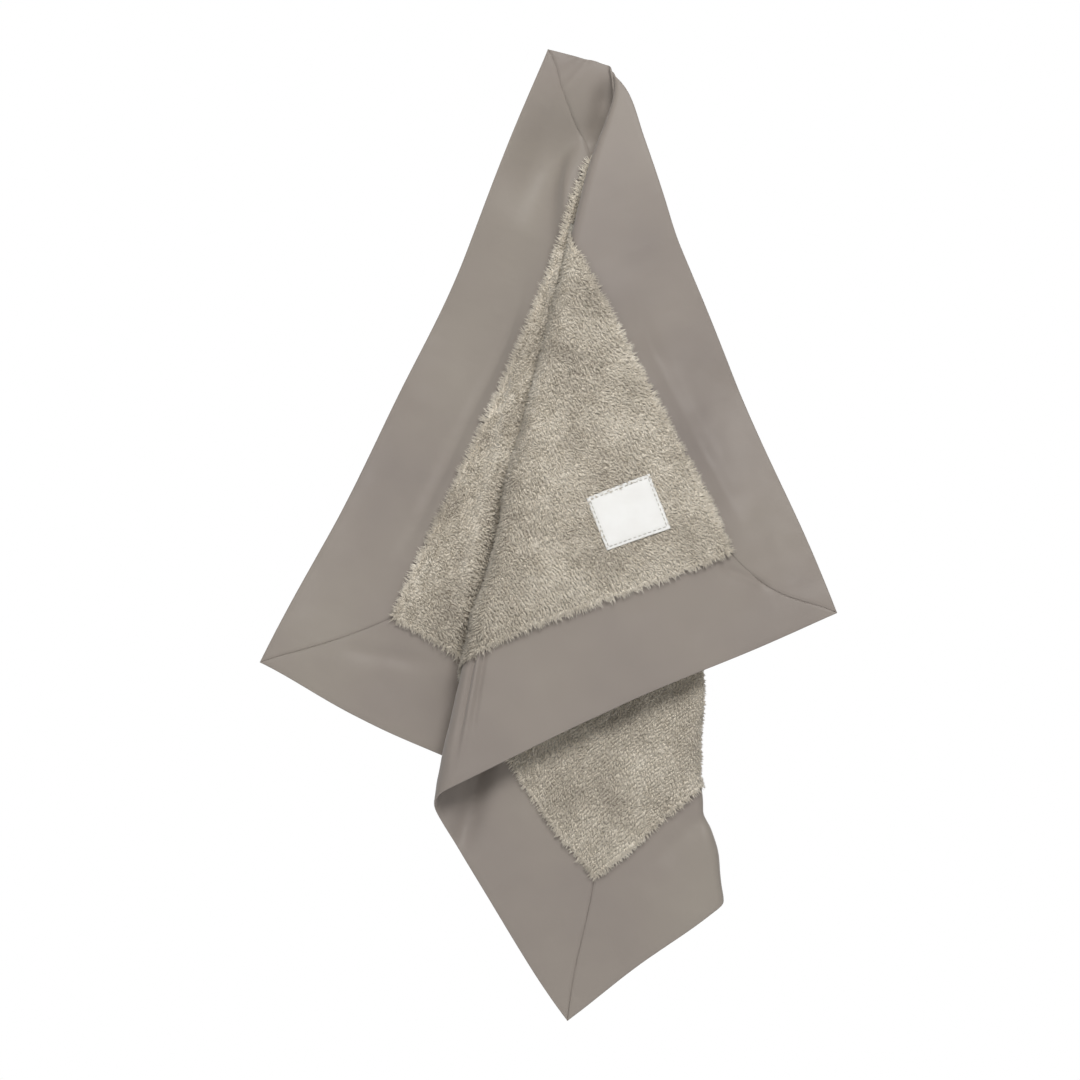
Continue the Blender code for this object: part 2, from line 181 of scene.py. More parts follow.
# Border details
HEM_ROWS = 8
STRIP_ROWS = 40
STRIP_STEP = 1.2 * MM
PINCH_STEP = 0.55 * MM
PINCH_REACH = 95 * MM
HEM_ROUND = 1.3 * MM
HEM_SLIT = 0.02 * MM
LEAST_THICKNESS = 0.02 * MM
SEAM_WIDTH = 1.0 * MM
SEAM_DEPTH = 0.6 * MM
SEAM_BEND = 10 * MM
SEAM_BEND_PLACES = 400
PUCKER_HEIGHT = 0.28 * MM
PUCKER_LENGTH = 9 * MM
PUCKER_REACH = 16 * MM
PUCKER_AWAY_SHARE = 0.35
PUCKER_STRETCH = 3
TUCK = 0.2 * MM

# Plush details; turns are in radians, and a lock is a few tufts that stick together
PLUSH_STEP = 2.2 * MM
PLUSH_BASE = 1.5 * MM
LUMP_HEIGHT = 0.9 * MM
LUMP_LENGTH = 18 * MM
TUFT_SPACING = 1.2 * MM
TUFT_WIDTH = 0.6 * MM
TUFT_LENGTH = 3.8 * MM
TUFT_SINK = 0.3 * MM
TUFT_LENGTH_SHARES = (0.85, 1.1)
TUFT_LEAN_SHARE = 0.62
TUFT_LEAN_LIMITS = (0.2, 0.92)
TUFT_SHADING = 0.9
TUFT_UNDER_LABEL = 1.0 * MM
LOCK_LENGTH = 2.1 * MM
LOCK_JITTER_SHARE = 0.35
LOCK_PULL_SHARE = 0.8
LOCK_TURN = 0.45
LOCK_LEAN_SHARE = 0.2
LOCK_LENGTH_SHARE = 0.25
EDGE_OVERHANG = 2.0 * MM
EDGE_TUFT_SPACING = 0.2 * MM
EDGE_TUFT_REACH = 2.2 * MM
EDGE_TUFT_LENGTH = 3.4 * MM
EDGE_TUFT_TURN = 0.8
EDGE_TUFT_LEAN_SHARES = (0.3, 0.92)
SWIRL_LENGTH = 22 * MM
SWIRL_TURN = 0.7
CLUMP_LENGTH = 4.5 * MM
CLUMP_TURN = 0.3
CLUMP_LEAN_SHARE = 0.12
FOLD_FILL_SHARE = 0.75
FOLD_FILL_LEAST = 0.1
FOLD_EDGE_REACH = 7 * MM
FOLD_EDGE_TRIM_SHARE = 0.45

# Sides of the plush: name, facing, lay of the pile in radians, share of its length
PLUSH_SIDES = (("front", 1, 1.75, 1.0), ("back", -1, 1.2, 0.85))

# Label details
LABEL_STEP = 0.9 * MM
LABEL_SINK = 0.5 * MM
LABEL_EDGE = 0.6 * MM
LABEL_EDGE_LEAST = 0.3
LABEL_CROWN = 0.5 * MM
LABEL_CROWN_REACH = 8 * MM
LABEL_RIPPLE = 0.15 * MM
LABEL_RIPPLE_LENGTH = 9 * MM
LABEL_SEAM_DEPTH = 0.35 * MM
LABEL_SEAM_WIDTH = 0.8 * MM
STITCH_INSET = 2 * MM
STITCH_LENGTH = 2.3 * MM
STITCH_PITCH = 3.3 * MM
STITCH_ARCH = 0.25 * MM
STITCH_SINK = 0.1 * MM
STITCH_SIDES = 8
STITCH_RINGS = 7
STITCH_END_SHARE = 0.06
THREAD_RADIUS = 0.25 * MM

# The picture: the blanket's side is SIDE_PIXELS long in it
SIDE_PIXELS = 714
PIXEL = SIDE / SIDE_PIXELS
PICTURE_PIXELS = 1080
PINCH_PIXEL = (590, 72)
CAMERA_DISTANCE = 3.2
CAMERA_FAR = 50
SENSOR = 36 * MM

# Stage and background
FLOOR_DROP = 380 * MM
FLOOR_SIZE = 6
FLOOR_GLOW_SHARE = 0.85
WORLD_STRENGTH = 0.29

# Lights: name, place, size, power
LIGHTS_AIM = (0, 0, -0.3)
LIGHTS = (
    ("key", (0.4, -1.8, 0.9), 0.8, 29),
    ("fill", (-1.9, -1.7, 0.3), 1.6, 8),
    ("behind", (0.6, 2.2, 0.9), 1.6, 34),
)

SEED = 7
NOISE_CELLS = 64


# Noise that gives the same result each run

def smooth(part):
    """Ease from 0 to 1, level at both ends."""
    return part * part * (3 - 2 * part)


def noise(x, y, seed):
    """Smooth noise from -1 to 1 with a period of NOISE_CELLS."""
    table = np.random.default_rng(seed).random((NOISE_CELLS, NOISE_CELLS))
    x0, y0 = np.floor(x).astype(int), np.floor(y).astype(int)
    u, v = smooth(x - x0), smooth(y - y0)
    x0, y0, x1, y1 = (place % NOISE_CELLS for place in (x0, y0, x0 + 1, y0 + 1))
    a, b, c, d = table[x0, y0], table[x1, y0], table[x0, y1], table[x1, y1]
    return 2 * (a + (b - a) * u + (c - a) * v + (a - b - c + d) * u * v) - 1


def layered_noise(x, y, seed):
    """Three shifted layers of noise, each twice as fine and half as strong as the last."""
    total = 0
    for k in range(3):
        total = total + noise(x * 2 ** k + 17 * k, y * 2 ** k + 5 * k, seed + k) / 2 ** k
    return total / 1.5


# The hanging form, worked out for arrays of flat places

def polar(along, across):
    """Distance of flat places from the focus, and their angle from the side of A."""
    right = along + FOCUS_OUT
    down = across - PINCH_ALONG_EDGE
    return np.hypot(right, down), np.arctan2(right, -down)


FOLD_P_ANGLE = polar(SIDE, FOLD_P_SHARE * SIDE)[1]
FOLD_Q_ANGLE = polar(FOLD_Q_SHARE * SIDE, SIDE)[1]


def focus_shift(radius, angle):
    """How far the focus moves to the right on the way from the back layer to the flap."""
    part = np.clip((angle - FOLD_P_ANGLE) / (FOLD_Q_ANGLE - FOLD_P_ANGLE), 0, 1)
    return smooth(part) * FLAP_SHIFT * (1 - np.exp((FOCUS_OUT - radius) / FLAP_SHIFT_REACH))


def make_ribs(shares):
    """Landmarks as (flat angle, hung angle, stretch) rows."""
    ribs = []
    for (along, across), (right, down) in shares:
        radius, angle = polar(along * SIDE, across * SIDE)
        x = (right - FOCUS_SHARE[0]) * SIDE - focus_shift(radius, angle)
        z = (down - FOCUS_SHARE[1]) * SIDE
        ribs.append((angle, math.atan2(x, z), math.hypot(x, z) / radius))
    return np.array(ribs)


BACK_RIBS = make_ribs(BACK_LAYER_SHARES)
MIDDLE_RIBS = make_ribs(MIDDLE_LAYER_SHARES)
FLAP_RIBS = make_ribs(FLAP_SHARES)


def between_ribs(ribs, column, angle):
    """Smooth curve through one column of the ribs, straight beyond the ends."""
    places, values = ribs[:, 0], ribs[:, column]
    rises = np.diff(values) / np.diff(places)
    slopes = np.concatenate(([rises[0]], rises[1:], [rises[-1]]))
    for k in range(1, len(rises)):
        before, after = rises[k - 1], rises[k]
        slopes[k] = 2 * before * after / (before + after) if before * after > 0 else 0
    i = np.clip(np.searchsorted(places, angle, side="right") - 1, 0, len(rises) - 1)
    width = np.diff(places)[i]
    t = (angle - places[i]) / width
    start, end = values[i], values[i + 1]
    rise_in, rise_out = slopes[i] * width, slopes[i + 1] * width
    inside = start + (end - start) * smooth(t) + t * (1 - t) * ((1 - t) * rise_in - t * rise_out)
    return np.where(t < 0, start + rise_in * t, np.where(t > 1, end + rise_out * (t - 1), inside))


def fold_radii(radius):
    """Radii of folds P and Q, which open out from nothing at the focus."""
    return (FOLD_P_RADIUS * (1 - np.exp(-radius / FOLD_P_REACH)),
            FOLD_Q_RADIUS * (1 - np.exp(-radius / FOLD_Q_REACH)))


def folded(radius, angle):
    """Which layer a place is on, the angle to read its ribs at, and its depth to the front."""
    p_radius, q_radius = fold_radii(radius)
    p_half, q_half = math.pi / 2 * p_radius / radius, math.pi / 2 * q_radius / radius
    p_tip, q_tip = p_radius / radius, q_radius / radius
    first, last = BACK_RIBS[0, 0], FLAP_RIBS[-1, 0]
    back_at = angle + (angle - first) / (FOLD_P_ANGLE - p_half - first) * (p_half - p_tip)
    p_turn = np.clip((angle - FOLD_P_ANGLE) / p_half, -1, 1) * math.pi / 2
    p_inset = p_tip * (1 - np.cos(p_turn)) * np.sign(p_turn)
    part = (angle - FOLD_P_ANGLE - p_half) / (FOLD_Q_ANGLE - q_half - FOLD_P_ANGLE - p_half)
    middle_at = FOLD_P_ANGLE + p_tip + part * (FOLD_Q_ANGLE - q_tip - FOLD_P_ANGLE - p_tip)
    q_turn = np.clip((angle - FOLD_Q_ANGLE) / q_half, -1, 1) * math.pi / 2
    q_inset = q_tip * (1 - np.cos(q_turn)) * np.sign(q_turn)
    flap_at = angle - (last - angle) / (last - FOLD_Q_ANGLE - q_half) * (q_half - q_tip)
    zones = [angle < FOLD_P_ANGLE - p_half, angle <= FOLD_P_ANGLE + p_half,
             angle < FOLD_Q_ANGLE - q_half, angle <= FOLD_Q_ANGLE + q_half]
    read_at = np.select(zones, [back_at, FOLD_P_ANGLE + p_inset, middle_at,
                                FOLD_Q_ANGLE + q_inset], flap_at)
    depth = p_radius * (1 + np.sin(p_turn)) + q_radius * (1 + np.sin(q_turn))
    return np.where(angle < FOLD_P_ANGLE, 0, np.where(angle < FOLD_Q_ANGLE, 1, 2)), read_at, depth


def swell(distance, reach):
    """A soft bump: 1 in its middle, and 0 beyond its reach."""
    part = np.clip(distance / reach, -1, 1)
    return np.cos(math.pi / 2 * part) ** 2


def middle_surface(along, across):
    """Where flat places hang, halfway through the cloth, without the small waves."""
    radius, angle = polar(along, across)
    layer, read_at, depth = folded(radius, angle)
    sets = (BACK_RIBS, MIDDLE_RIBS, FLAP_RIBS)
    hung_angle = np.choose(layer, [between_ribs(ribs, 1, read_at) for ribs in sets])
    length = radius * np.choose(layer, [between_ribs(ribs, 2, read_at) for ribs in sets])
    x = FOCUS_SHARE[0] * SIDE + focus_shift(radius, read_at) + length * np.sin(hung_angle)
    y = -depth
    z = -FOCUS_SHARE[1] * SIDE - length * np.cos(hung_angle)
    for centre, reach, (right, back, down) in DRAPE_SHARES:
        weight = (swell(along / SIDE - centre[0], reach[0])
                  * swell(across / SIDE - centre[1], reach[1])) * SIDE
        x, y, z = x + weight * right, y + weight * back, z - weight * down
    return np.stack((x, y, z), axis=-1)


def cloth_frame(along, across):
    """The cloth's middle at flat places, with its two directions and the normal to the front."""
    along, across = np.broadcast_arrays(np.asarray(along, float), np.asarray(across, float))
    by_along = unit(middle_surface(along + NORMAL_STEP, across)
                    - middle_surface(along - NORMAL_STEP, across))
    by_across = unit(middle_surface(along, across + NORMAL_STEP)
                     - middle_surface(along, across - NORMAL_STEP))
    normal = unit(np.cross(by_along, by_across))
    wave = WAVE_HEIGHT * np.clip(polar(along, across)[0] / WAVE_FULL_AT, 0, 1) ** 2
    wave = wave * layered_noise(along / WAVE_LENGTH, across / WAVE_LENGTH, SEED)
    wave = wave + crease_height(along, across)
    return middle_surface(along, across) + wave[..., None] * normal, by_along, by_across, normal


def crease_height(along, across):
    """Height of all creases; each fades out towards its ends."""
    radius, angle = polar(along, across)
    total = np.zeros(radius.shape)
    for degrees, start, end, width, height in CREASES:
        part = np.clip((radius - start) / (end - start), 0, 1)
        off = (angle - math.radians(degrees)) * radius / width
        total += height * crease_fade(part) * np.exp(-off * off)
    for (from_along, from_across), (to_along, to_across), width, height in SEAM_CREASES:
        run = np.array((to_along - from_along, to_across - from_across)) * SIDE
        x, y = along - from_along * SIDE, across - from_across * SIDE
        part = (x * run[0] + y * run[1]) / (run @ run)
        off = (x * run[1] - y * run[0]) / math.hypot(*run) / width
        total += height * crease_fade(part) * np.exp(-off * off)
    return total


def crease_fade(part):
    """1 along most of a crease, easing to 0 at both of its ends."""
    return smooth(np.clip(np.minimum(part, 1 - part) / CREASE_FADE_SHARE, 0, 1))


def unit(vectors):
    return vectors / np.linalg.norm(vectors, axis=-1, keepdims=True)


def hung(along, across, height):
    """Where flat places hang, at a height above the middle, towards the label side."""
    middle, _, _, normal = cloth_frame(along, across)
    return middle + np.asarray(height)[..., None] * normal


# Meshes

def mesh_object(name, points, faces, material):
    """A smooth-shaded mesh from an array of points and one of equally sided faces."""
    data = bpy.data.meshes.new(name)
    faces = np.asarray(faces, np.int32)
    data.vertices.add(points.size // 3)
    data.vertices.foreach_set("co", points.ravel())
    data.loops.add(faces.size)
    data.loops.foreach_set("vertex_index", faces.ravel())
    data.polygons.add(len(faces))
    data.polygons.foreach_set("loop_start", np.arange(len(faces), dtype=np.int32) * faces.shape[1])
    data.update(calc_edges=True)
    data.materials.append(material)
    data.shade_smooth()
    piece = bpy.data.objects.new(name, data)
    bpy.context.scene.collection.objects.link(piece)
    return piece


def closed_sheet(name, along, across, low, high, material):
    """A closed thin solid over a grid of flat places, between two heights."""
    index = np.arange(along.size).reshape(along.shape)
    quads = np.stack((index[:-1, :-1], index[1:, :-1], index[1:, 1:], index[:-1, 1:]), -1)
    count = along.size
    bottom_faces = quads.reshape(-1, 4)
    top_faces = (quads + count).reshape(-1, 4)[:, ::-1]
    rim = np.concatenate((index[0, :-1], index[:-1, -1], index[-1, :0:-1], index[:0:-1, 0]))
    ahead = np.roll(rim, -1)
    walls = np.stack((rim, ahead, ahead + count, rim + count), -1)
    faces = np.concatenate((bottom_faces, top_faces, walls))
    points = np.concatenate((hung(along, across, low).reshape(-1, 3),
                             hung(along, across, high).reshape(-1, 3)))
    piece = mesh_object(name, points, faces, material)
    made = bmesh.new()
    made.from_mesh(piece.data)
    bmesh.ops.recalc_face_normals(made, faces=made.faces)
    made.to_mesh(piece.data)
    made.free()
    return piece


# Materials

def new_material(name, colour, roughness, sheen, sheen_tint=(1, 1, 1)):
    """A cloth-like material, with its nodes, its links and its shader."""
    material = bpy.data.materials.new(name)
    material.use_nodes = True
    nodes, links = material.node_tree.nodes, material.node_tree.links
    shader = nodes["Principled BSDF"]
    shader.inputs["Base Color"].default_value = (*colour, 1)
    shader.inputs["Roughness"].default_value = roughness
    shader.inputs["Sheen Weight"].default_value = sheen
    shader.inputs["Sheen Roughness"].default_value = 0.45
    shader.inputs["Sheen Tint"].default_value = (*sheen_tint, 1)
    shader.inputs["Specular IOR Level"].default_value = 0.3
    return material, nodes, links, shader


def object_places(nodes):
    return nodes.new("ShaderNodeTexCoord").outputs["Object"]


def noise_node(nodes, links, places, scale, detail=3.0, roughness=0.55):
    texture = nodes.new("ShaderNodeTexNoise")
    texture.inputs["Scale"].default_value = scale
    texture.inputs["Detail"].default_value = detail
    texture.inputs["Roughness"].default_value = roughness
    links.new(places, texture.inputs["Vector"])
    return texture.outputs["Fac"]


def ramp_node(nodes, links, value, stops):
    ramp = nodes.new("ShaderNodeValToRGB")
    elements = ramp.color_ramp.elements
    for element, (position, colour) in ((elements[0], stops[0]), (elements[1], stops[-1])):
        element.position = position
        element.color = (*colour, 1)
    for position, colour in stops[1:-1]:
        elements.new(position).color = (*colour, 1)
    links.new(value, ramp.inputs["Fac"])
    return ramp.outputs["Color"]


def bump_node(nodes, links, height, distance, strength):
    bump = nodes.new("ShaderNodeBump")
    bump.inputs["Distance"].default_value = distance
    bump.inputs["Strength"].default_value = strength
    links.new(height, bump.inputs["Height"])
    return bump.outputs["Normal"]


def satin_material():
    """Smooth sateen: a very fine diagonal weave with faint broad shading."""
    material, nodes, links, shader = new_material(
        "satin_cloth", colour=(0.31, 0.27, 0.235), roughness=0.5, sheen=0.25)
    places = object_places(nodes)
    cloudy = noise_node(nodes, links, places, scale=9)
    colour = ramp_node(nodes, links, cloudy, ((0.30, (0.268, 0.233, 0.209)),
                                              (0.52, (0.296, 0.258, 0.226)),
                                              (0.75, (0.315, 0.279, 0.239))))
    links.new(colour, shader.inputs["Base Color"])
    weave = nodes.new("ShaderNodeTexWave")
    weave.wave_type = "BANDS"
    weave.bands_direction = "DIAGONAL"
    weave.inputs["Scale"].default_value = 900
    weave.inputs["Distortion"].default_value = 1.5
    weave.inputs["Detail"].default_value = 1
    links.new(places, weave.inputs["Vector"])
    slub = noise_node(nodes, links, places, scale=1400, detail=1)
    mixed = nodes.new("ShaderNodeMath")
    mixed.operation = "ADD"
    links.new(weave.outputs["Fac"], mixed.inputs[0])
    links.new(slub, mixed.inputs[1])
    relief = bump_node(nodes, links, mixed.outputs[0], distance=0.05 * MM, strength=0.35)
    links.new(relief, shader.inputs["Normal"])
    return material


def plush_material(name, brightness):
    """Short pile: fine fibre noise over broader patches of painted shade from the brushed lay."""
    material, nodes, links, shader = new_material(
        name, colour=(0.43, 0.39, 0.315), roughness=0.9, sheen=0.5,
        sheen_tint=(0.95, 0.93, 0.86))
    places = object_places(nodes)
    # Broad patches of painted shade, where the brushed pile would catch the light differently.
    painted_lay_shade = noise_node(nodes, links, places, scale=26, detail=4, roughness=0.6)
    fibre = noise_node(nodes, links, places, scale=900, detail=2, roughness=0.6)
    mixed = nodes.new("ShaderNodeMix")
    mixed.inputs["Factor"].default_value = 0.45
    links.new(painted_lay_shade, mixed.inputs["A"])
    links.new(fibre, mixed.inputs["B"])
    stops = ((0.34, (0.45, 0.397, 0.327)), (0.50, (0.735, 0.665, 0.556)),
             (0.64, (0.93, 0.860, 0.742)))
    # A brightness below 1 makes a darker copy: painted shade for the backing between the tufts.
    stops = [(place, [brightness * part for part in colour]) for place, colour in stops]
    colour = ramp_node(nodes, links, mixed.outputs["Result"], stops)
    links.new(colour, shader.inputs["Base Color"])
    relief = bump_node(nodes, links, fibre, distance=0.4 * MM, strength=0.6)
    links.new(relief, shader.inputs["Normal"])
    return material


def label_material():
    """White woven tape with a fine rib."""
    material, nodes, links, shader = new_material(
        "label_tape", colour=(0.88, 0.87, 0.84), roughness=0.65, sheen=0.15)
    places = object_places(nodes)
    rib = nodes.new("ShaderNodeTexWave")
    rib.wave_type = "BANDS"
    rib.bands_direction = "Z"
    rib.inputs["Scale"].default_value = 420
    rib.inputs["Distortion"].default_value = 0.6
    links.new(places, rib.inputs["Vector"])
    colour = ramp_node(nodes, links, noise_node(nodes, links, places, scale=60),
                       ((0.3, (0.86, 0.85, 0.82)), (0.7, (0.90, 0.895, 0.87))))
    links.new(colour, shader.inputs["Base Color"])
    relief = bump_node(nodes, links, rib.outputs["Fac"], distance=0.12 * MM, strength=0.5)
    links.new(relief, shader.inputs["Normal"])
    return material


def thread_material():
    """Grey thread with a faint twist."""
    material, nodes, links, shader = new_material(
        "sewing_thread", colour=(0.52, 0.50, 0.46), roughness=0.7, sheen=0.2)
    twist = noise_node(nodes, links, object_places(nodes), scale=3000, detail=1)
    colour = ramp_node(nodes, links, twist, ((0.35, (0.42, 0.40, 0.36)),
                                             (0.65, (0.60, 0.58, 0.53))))
    links.new(colour, shader.inputs["Base Color"])
    return material


# Satin border

def stations():
    """Places along a strip from 0 to 1, closer together near the pinch."""
    places = [0]
    while places[-1] < SIDE:
        near = abs(places[-1] - PINCH_ALONG_EDGE) < PINCH_REACH
        places.append(places[-1] + (PINCH_STEP if near else STRIP_STEP))
    return np.array(places) / places[-1]


def seam_bend(inward):
    """How far the mitre of the label's corner strays from its diagonal.

    It is SEAM_BEND two thirds of the way in, where part * part * (1 - part) is 4 / 27.
    """
    part = np.clip(inward / BORDER, 0, 1)
    return SEAM_BEND * 27 / 4 * part * part * (1 - part)


def strip_ends(side, inward):
    """Where a strip starts and ends along its edge; AC and CD share the bent mitre."""
    start, end = inward, SIDE - inward
    if side == "AC":
        end = end + seam_bend(inward)
    if side == "CD":
        table = np.linspace(0, BORDER + TUCK, SEAM_BEND_PLACES)
        start = np.interp(inward, table - seam_bend(table), table)
    return start, end


def strip_thickness(inward, position, start, end, seed):
    """A strip's thickness, with a rounded hem, a pinched mitre and faint puckers."""
    thickness = np.full(inward.shape, SATIN_THICKNESS)
    hem = np.clip(inward / HEM_ROUND, 0, 1)
    thickness = thickness * np.sqrt(np.clip(1 - (1 - hem) ** 2, 0, 1))
    to_seam = np.minimum(position - start, end - position) / math.sqrt(2)
    thickness -= SEAM_DEPTH * np.exp(-(to_seam / SEAM_WIDTH) ** 2) * hem
    near_seam = np.exp(-to_seam / PUCKER_REACH) + PUCKER_AWAY_SHARE
    pucker = layered_noise(position / PUCKER_LENGTH,
                           inward / (PUCKER_STRETCH * PUCKER_LENGTH), seed)
    thickness += PUCKER_HEIGHT * pucker * near_seam * hem
    return np.maximum(thickness, LEAST_THICKNESS)


def border_strip(name, side, facing, material):
    """One mitred strip; inward runs from the outer edge to the plush, position along it."""
    hem_width = 2 * HEM_ROUND
    rows = np.concatenate((np.linspace(0, 1, HEM_ROWS) ** 2 * hem_width,
                           np.linspace(hem_width, BORDER + TUCK, STRIP_ROWS)[1:]))
    columns = stations()
    inward = np.repeat(rows[:, None], len(columns), 1)
    start, end = strip_ends(side, inward)
    position = start + columns * (end - start)
    along, across = {"AB": (position, inward), "AC": (inward, position),
                     "BD": (SIDE - inward, position), "CD": (position, SIDE - inward)}[side]
    slit = np.where(inward < hem_width, HEM_SLIT, GAP / 2)
    outer = slit + strip_thickness(inward, position, start, end, SEED + 3 * len(name))
    return closed_sheet(name, along, across, facing * slit, facing * outer, material)


def border(material):
    """The eight strips, named after the sides of the flat blanket."""
    for side, name in {"AB": "top", "BD": "left", "CD": "bottom", "AC": "right"}.items():
        for face, facing in (("front", 1), ("back", -1)):
            strip = border_strip(f"satin_{face}_{name}", side, facing, material)
            dress(strip, "satin", f"border_{face}_{name}")


# Plush panels

def pile_room(along, across, facing):
    """How much of its height the pile keeps, so that it fits inside the folds' hollows."""
    radius, angle = polar(along, across)
    fold_radius = fold_radii(radius)[0 if facing > 0 else 1]
    fold_angle = FOLD_P_ANGLE if facing > 0 else FOLD_Q_ANGLE
    away = np.abs(angle - fold_angle) * radius / (2 * fold_radius)
    room = np.clip(FOLD_FILL_SHARE * fold_radius / (PLUSH_BASE + TUFT_LENGTH),
                   FOLD_FILL_LEAST, 1)
    return room + (1 - room) * np.clip(away - 1, 0, 1)


def fold_trim(along, across, facing):
    """How much of its length the pile keeps on the outer side of a fold, where it lies flat."""
    radius, angle = polar(along, across)
    away = (angle - (FOLD_Q_ANGLE if facing > 0 else FOLD_P_ANGLE)) * radius
    return 1 - FOLD_EDGE_TRIM_SHARE * np.exp(-(away / FOLD_EDGE_REACH) ** 2)


def plush_height(along, across, facing, seed):
    """Height of the backing that the pile stands on, with soft lumps."""
    lumps = LUMP_HEIGHT * layered_noise(along / LUMP_LENGTH, across / LUMP_LENGTH, seed)
    return (PLUSH_BASE + lumps) * pile_room(along, across, facing)


def plush_base(name, facing, seed, material):
    """The closed backing that the pile stands on."""
    low, high = BORDER + 2 * TUCK, SIDE - BORDER - 2 * TUCK
    places = np.linspace(low, high, round((high - low) / PLUSH_STEP) + 1)
    along, across = np.meshgrid(places, places, indexing="ij")
    outer = GAP / 2 + plush_height(along, across, facing, seed)
    return closed_sheet(name, along, across, np.full(along.shape, facing * GAP / 2),
                        facing * outer, material)


def plush_pile(name, facing, seed, material, lay, length_share):
    """Leaning tufts, each a slim closed spike, brushed one way with swirls and clumps."""
    draw = np.random.default_rng(seed)
    low, high = BORDER + TUCK, SIDE - BORDER - TUCK
    along, across, at_edge = tuft_places(low, high, facing, draw)
    lock_along, lock_across, lock_turn, lock_lean, lock_size = locks(along, across, draw)
    swirl = layered_noise(lock_along / SWIRL_LENGTH, lock_across / SWIRL_LENGTH, seed + 1)
    clump = noise(lock_along / CLUMP_LENGTH, lock_across / CLUMP_LENGTH, seed + 2)
    turn = lay + SWIRL_TURN * swirl + CLUMP_TURN * clump + LOCK_TURN * lock_turn
    turn = np.where(at_edge, outward_turn(along, across, draw), turn)
    length = np.where(at_edge, EDGE_TUFT_LENGTH, TUFT_LENGTH)
    length = length * length_share * pile_room(along, across, facing)
    length = length * fold_trim(along, across, facing)
    length = length * (1 + LOCK_LENGTH_SHARE * lock_size)
    length = length * draw.uniform(*TUFT_LENGTH_SHARES, along.shape)
    lean_share = TUFT_LEAN_SHARE + CLUMP_LEAN_SHARE * clump + LOCK_LEAN_SHARE * lock_lean
    lean_share = np.where(at_edge, draw.uniform(*EDGE_TUFT_LEAN_SHARES, along.shape), lean_share)
    lean = length * np.clip(lean_share, *TUFT_LEAN_LIMITS)
    rise = np.sqrt(length ** 2 - lean ** 2)
    middle, by_along, by_across, normal = cloth_frame(along, across)
    out = facing * normal
    height = GAP / 2 + plush_height(along, across, facing, seed) - TUFT_SINK
    root = middle + height[:, None] * out
    tip_along = (lean * np.cos(turn) + EDGE_OVERHANG * near_ends(along, low, high)
                 + (lock_along - along) * LOCK_PULL_SHARE)
    tip_across = (lean * np.sin(turn) + EDGE_OVERHANG * near_ends(across, low, high)
                  + (lock_across - across) * LOCK_PULL_SHARE)
    tip = (root + tip_along[:, None] * by_along + tip_across[:, None] * by_across
           + (rise + TUFT_SINK)[:, None] * out)
    spin = draw.uniform(0, 2 * math.pi, along.shape)
    corners = [root + TUFT_WIDTH * (np.cos(corner)[:, None] * by_along
                                    + np.sin(corner)[:, None] * by_across)
               for corner in (spin + k * 2 * math.pi / 3 for k in range(3))]
    points = np.stack(corners + [tip], axis=1)
    from_inside = unit(points - (root + TUFT_LENGTH / 2 * out)[:, None, :])
    shading = unit(out[:, None, :] + TUFT_SHADING * from_inside)
    return [tuft_mesh(f"{name}_{half}", points[chosen], shading[chosen], facing, material)
            for half, chosen in (("upper", across < SIDE / 2), ("lower", across >= SIDE / 2))]


def tuft_mesh(name, points, shading, facing, material):
    """Spikes with three corners and a tip each, shaded as one soft surface."""
    order = np.array(((0, 1, 3), (1, 2, 3), (2, 0, 3), (0, 2, 1)))
    if facing < 0:
        order = order[:, ::-1]
    faces = (np.arange(len(points))[:, None, None] * 4 + order).reshape(-1, 3)
    piece = mesh_object(name, points.reshape(-1, 3), faces, material)
    piece.data.normals_split_custom_set_from_vertices(shading.reshape(-1, 3).tolist())
    return piece


def tuft_places(low, high, facing, draw):
    """Flat places of the tufts, none under the label, and which are the edges' extra ones."""
    count = round((high - low) / TUFT_SPACING)
    places = low + (np.arange(count) + 0.5) * (high - low) / count
    along, across = (grid.ravel() for grid in np.meshgrid(places, places, indexing="ij"))
    along = along + draw.uniform(-0.5, 0.5, along.shape) * TUFT_SPACING
    across = across + draw.uniform(-0.5, 0.5, across.shape) * TUFT_SPACING
    edge_along, edge_across = edge_places(low, high, draw)
    at_edge = np.repeat((False, True), (len(along), len(edge_along)))
    along, across = np.append(along, edge_along), np.append(across, edge_across)
    if facing > 0:
        right, down = from_label(along, across)
        free = ((np.abs(right) >= LABEL_LENGTH / 2 - TUFT_UNDER_LABEL)
                | (np.abs(down) >= LABEL_HEIGHT / 2 - TUFT_UNDER_LABEL))
        along, across, at_edge = along[free], across[free], at_edge[free]
    return along, across, at_edge


def outward_turn(along, across, draw):
    """The way from the panel to its nearest edge, each tuft's a little different."""
    away = np.arctan2(across - SIDE / 2, along - SIDE / 2)
    quarter = math.pi / 2
    return np.round(away / quarter) * quarter + draw.normal(0, EDGE_TUFT_TURN, along.shape)


def near_ends(place, low, high):
    """From -1 to 1: 0 away from the panel's edges, -1 at its low and 1 at its high edge."""
    return (np.clip((place - high) / TUFT_LENGTH + 1, 0, 1)
            - np.clip((low - place) / TUFT_LENGTH + 1, 0, 1))


def edge_places(low, high, draw):
    """Flat places close together along the panel's four edges."""
    count = round((high - low) / EDGE_TUFT_SPACING)
    run = draw.uniform(low, high, (4, count))
    inset = draw.uniform(0, EDGE_TUFT_REACH, (4, count))
    along = np.concatenate((run[0], run[1], low + inset[2], high - inset[3]))
    across = np.concatenate((low + inset[0], high - inset[1], run[2], run[3]))
    return along, across


